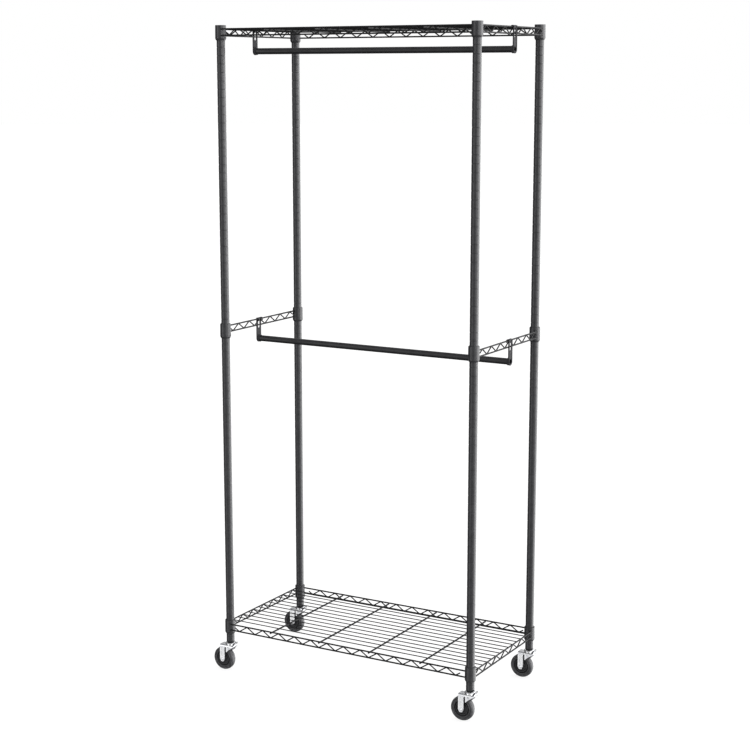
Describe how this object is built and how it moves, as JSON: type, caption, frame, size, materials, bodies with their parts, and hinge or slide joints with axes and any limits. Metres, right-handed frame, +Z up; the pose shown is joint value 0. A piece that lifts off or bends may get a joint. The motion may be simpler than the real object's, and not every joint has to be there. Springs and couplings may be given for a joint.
{
  "type": "rolling clothes rack",
  "caption": "Four-post wire garment rack on braked swivel casters, with a shelf above and below and two hanging rods hooked over its side trusses.",
  "frame": {"origin": "centre of the rack's box on the floor. The wheels trail to -X and the brake pedals stick out to +X, so the post grid's centre is 19.4 mm towards +X", "axes": "+X to the right along the hanging rods, -Y to the front, +Z up along the posts"},
  "size_m": [0.9578, 0.4562, 2.062],
  "materials": {
    "post_coat": "charcoal powder coat, lightly textured",
    "wire_coat": "charcoal powder coat on welded wire",
    "hook_coat": "charcoal powder coat on formed sheet",
    "rod_coat": "smooth satin black coat",
    "sleeve_plastic": "moulded black plastic",
    "plug_plastic": "moulded black plastic",
    "caster_zinc": "bright zinc plate",
    "axle_zinc": "bright zinc plate",
    "tyre_rubber": "matt black rubber",
    "hub_plastic": "moulded black plastic"
  },
  "bodies": {
    "frame": {"post_front_left": "post_coat", "post_front_right": "post_coat", "post_back_left": "post_coat", "post_back_right": "post_coat", "post_cap_front_left": "plug_plastic", "post_cap_front_right": "plug_plastic", "post_cap_back_left": "plug_plastic", "post_cap_back_right": "plug_plastic", "upper_sleeve_front_left": "sleeve_plastic", "upper_sleeve_front_right": "sleeve_plastic", "upper_sleeve_back_left": "sleeve_plastic", "upper_sleeve_back_right": "sleeve_plastic", "middle_sleeve_front_left": "sleeve_plastic", "middle_sleeve_front_right": "sleeve_plastic", "middle_sleeve_back_left": "sleeve_plastic", "middle_sleeve_back_right": "sleeve_plastic", "lower_sleeve_front_left": "sleeve_plastic", "lower_sleeve_front_right": "sleeve_plastic", "lower_sleeve_back_left": "sleeve_plastic", "lower_sleeve_back_right": "sleeve_plastic", "upper_shelf": "wire_coat", "lower_shelf": "wire_coat", "left_ledge": "wire_coat", "right_ledge": "wire_coat", "upper_rod": "rod_coat", "middle_rod": "rod_coat", "upper_rod_hook_left": "hook_coat", "upper_rod_hook_right": "hook_coat", "middle_rod_hook_left": "hook_coat", "middle_rod_hook_right": "hook_coat", "post_insert_front_left": "plug_plastic", "post_insert_front_right": "plug_plastic", "post_insert_back_left": "plug_plastic", "post_insert_back_right": "plug_plastic", "caster_stem_front_left": "caster_zinc", "caster_stem_front_right": "caster_zinc", "caster_stem_back_left": "caster_zinc", "caster_stem_back_right": "caster_zinc"},
    "swivel_front_left": {"caster_fork_front_left": "caster_zinc", "axle_bolt_front_left": "axle_zinc"},
    "wheel_front_left": {"tyre_front_left": "tyre_rubber", "wheel_hub_front_left": "hub_plastic"},
    "brake_front_left": {"brake_lever_front_left": "caster_zinc"},
    "swivel_front_right": {"caster_fork_front_right": "caster_zinc", "axle_bolt_front_right": "axle_zinc"},
    "wheel_front_right": {"tyre_front_right": "tyre_rubber", "wheel_hub_front_right": "hub_plastic"},
    "brake_front_right": {"brake_lever_front_right": "caster_zinc"},
    "swivel_back_left": {"caster_fork_back_left": "caster_zinc", "axle_bolt_back_left": "axle_zinc"},
    "wheel_back_left": {"tyre_back_left": "tyre_rubber", "wheel_hub_back_left": "hub_plastic"},
    "brake_back_left": {"brake_lever_back_left": "caster_zinc"},
    "swivel_back_right": {"caster_fork_back_right": "caster_zinc", "axle_bolt_back_right": "axle_zinc"},
    "wheel_back_right": {"tyre_back_right": "tyre_rubber", "wheel_hub_back_right": "hub_plastic"},
    "brake_back_right": {"brake_lever_back_right": "caster_zinc"}
  },
  "joints": [
    {"name": "caster_swivel_front_left", "type": "hinge", "parent": "frame", "child": "swivel_front_left", "pos_m": [-0.41695, -0.2104, 0.09], "axis": [0, 0, 1], "continuous": true},
    {"name": "wheel_roll_front_left", "type": "hinge", "parent": "swivel_front_left", "child": "wheel_front_left", "pos_m": [-0.44095, -0.2104, 0.038], "axis": [0, 1, 0], "continuous": true},
    {"name": "brake_press_front_left", "type": "hinge", "parent": "swivel_front_left", "child": "brake_front_left", "pos_m": [-0.41595, -0.2104, 0.0785], "axis": [0, 1, 0], "range_deg": [0, 15]},
    {"name": "caster_swivel_front_right", "type": "hinge", "parent": "frame", "child": "swivel_front_right", "pos_m": [0.45575, -0.2104, 0.09], "axis": [0, 0, 1], "continuous": true},
    {"name": "wheel_roll_front_right", "type": "hinge", "parent": "swivel_front_right", "child": "wheel_front_right", "pos_m": [0.43175, -0.2104, 0.038], "axis": [0, 1, 0], "continuous": true},
    {"name": "brake_press_front_right", "type": "hinge", "parent": "swivel_front_right", "child": "brake_front_right", "pos_m": [0.45675, -0.2104, 0.0785], "axis": [0, 1, 0], "range_deg": [0, 15]},
    {"name": "caster_swivel_back_left", "type": "hinge", "parent": "frame", "child": "swivel_back_left", "pos_m": [-0.41695, 0.2104, 0.09], "axis": [0, 0, 1], "continuous": true},
    {"name": "wheel_roll_back_left", "type": "hinge", "parent": "swivel_back_left", "child": "wheel_back_left", "pos_m": [-0.44095, 0.2104, 0.038], "axis": [0, 1, 0], "continuous": true},
    {"name": "brake_press_back_left", "type": "hinge", "parent": "swivel_back_left", "child": "brake_back_left", "pos_m": [-0.41595, 0.2104, 0.0785], "axis": [0, 1, 0], "range_deg": [0, 15]},
    {"name": "caster_swivel_back_right", "type": "hinge", "parent": "frame", "child": "swivel_back_right", "pos_m": [0.45575, 0.2104, 0.09], "axis": [0, 0, 1], "continuous": true},
    {"name": "wheel_roll_back_right", "type": "hinge", "parent": "swivel_back_right", "child": "wheel_back_right", "pos_m": [0.43175, 0.2104, 0.038], "axis": [0, 1, 0], "continuous": true},
    {"name": "brake_press_back_right", "type": "hinge", "parent": "swivel_back_right", "child": "brake_back_right", "pos_m": [0.45675, 0.2104, 0.0785], "axis": [0, 1, 0], "range_deg": [0, 15]}
  ]
}
